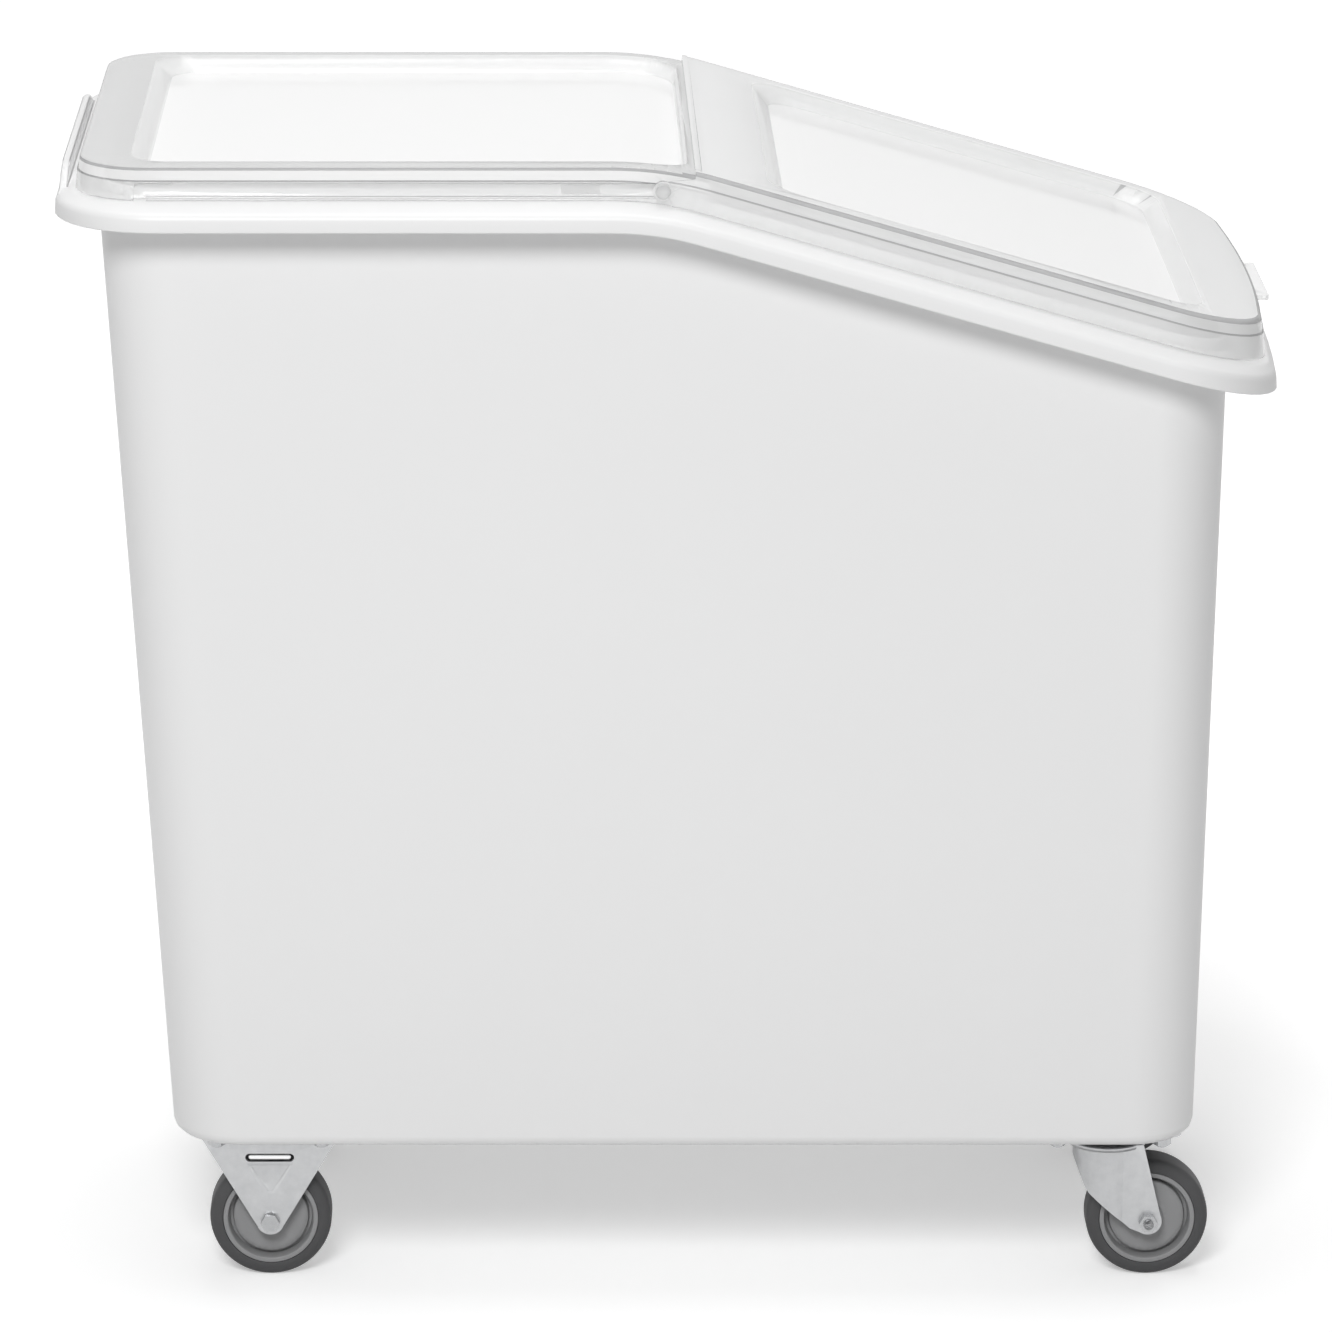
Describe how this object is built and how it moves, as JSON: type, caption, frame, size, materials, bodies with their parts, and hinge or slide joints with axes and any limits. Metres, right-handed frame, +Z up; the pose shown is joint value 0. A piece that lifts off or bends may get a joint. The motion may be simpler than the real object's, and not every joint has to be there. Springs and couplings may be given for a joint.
{
  "type": "rolling flour bin",
  "caption": "Slope-front rolling flour bin: a tapering open moulded tub on rigid and swivel casters, with a flat clear rear lid and a sloping clear front lid that hinges on side pins.",
  "frame": {"origin": "on the floor, under the middle of the rim's length and width", "axes": "+X towards the low front end, +Y to the left as seen from behind the bin, +Z up"},
  "size_m": [0.7249, 0.396, 0.7105],
  "materials": {
    "tub": "smooth white moulded plastic",
    "lid": "clear, lightly frosted borders",
    "pin": "clear",
    "tyre": "matte dark grey",
    "hub": "satin mid grey",
    "pressed_steel": "bright zinc plated",
    "fastener": "zinc plated"
  },
  "bodies": {
    "bin": {"tub": "tub", "rear_right_bracket": "pressed_steel", "rear_right_sleeve": "fastener", "rear_right_axle_bolt": "fastener", "rear_right_axle_nut": "fastener", "rear_left_bracket": "pressed_steel", "rear_left_sleeve": "fastener", "rear_left_axle_bolt": "fastener", "rear_left_axle_nut": "fastener", "front_right_plate": "pressed_steel", "front_right_race": "pressed_steel", "front_right_balls": "fastener", "front_right_king_pin": "fastener", "front_left_plate": "pressed_steel", "front_left_race": "pressed_steel", "front_left_balls": "fastener", "front_left_king_pin": "fastener", "caster_bolts": "fastener", "caster_washers": "fastener", "caster_nuts": "fastener"},
    "rear_lid": {"rear_lid": "lid"},
    "front_lid": {"front_lid": "lid", "lid_pin_right": "pin", "lid_pin_left": "pin"},
    "rear_right_wheel": {"rear_right_tyre": "tyre", "rear_right_hub": "hub"},
    "front_right_swivel": {"front_right_fork": "pressed_steel", "front_right_sleeve": "fastener", "front_right_axle_bolt": "fastener", "front_right_axle_nut": "fastener"},
    "front_right_wheel": {"front_right_tyre": "tyre", "front_right_hub": "hub"},
    "rear_left_wheel": {"rear_left_tyre": "tyre", "rear_left_hub": "hub"},
    "front_left_swivel": {"front_left_fork": "pressed_steel", "front_left_sleeve": "fastener", "front_left_axle_bolt": "fastener", "front_left_axle_nut": "fastener"},
    "front_left_wheel": {"front_left_tyre": "tyre", "front_left_hub": "hub"}
  },
  "joints": [
    {"name": "rear_right_wheel_spin", "type": "hinge", "parent": "bin", "child": "rear_right_wheel", "pos_m": [-0.24338, -0.103, 0.0375], "axis": [0, 1, 0], "continuous": true},
    {"name": "rear_left_wheel_spin", "type": "hinge", "parent": "bin", "child": "rear_left_wheel", "pos_m": [-0.24338, 0.103, 0.0375], "axis": [0, 1, 0], "continuous": true},
    {"name": "front_right_swivel_turn", "type": "hinge", "parent": "bin", "child": "front_right_swivel", "pos_m": [0.27108, -0.103, 0.09], "axis": [0, 0, 1], "continuous": true},
    {"name": "front_right_wheel_spin", "type": "hinge", "parent": "front_right_swivel", "child": "front_right_wheel", "pos_m": [0.29648, -0.103, 0.0375], "axis": [0, 1, 0], "continuous": true},
    {"name": "front_left_swivel_turn", "type": "hinge", "parent": "bin", "child": "front_left_swivel", "pos_m": [0.27108, 0.103, 0.09], "axis": [0, 0, 1], "continuous": true},
    {"name": "front_left_wheel_spin", "type": "hinge", "parent": "front_left_swivel", "child": "front_left_wheel", "pos_m": [0.29648, 0.103, 0.0375], "axis": [0, 1, 0], "continuous": true},
    {"name": "rear_lid_lift", "type": "slide", "parent": "bin", "child": "rear_lid", "axis": [0, 0, 1], "range_m": [0, 0.12]},
    {"name": "front_lid_hinge", "type": "hinge", "parent": "rear_lid", "child": "front_lid", "pos_m": [-0.0068, 0, 0.6968], "axis": [0, -1, 0], "range_deg": [0, 105]}
  ]
}
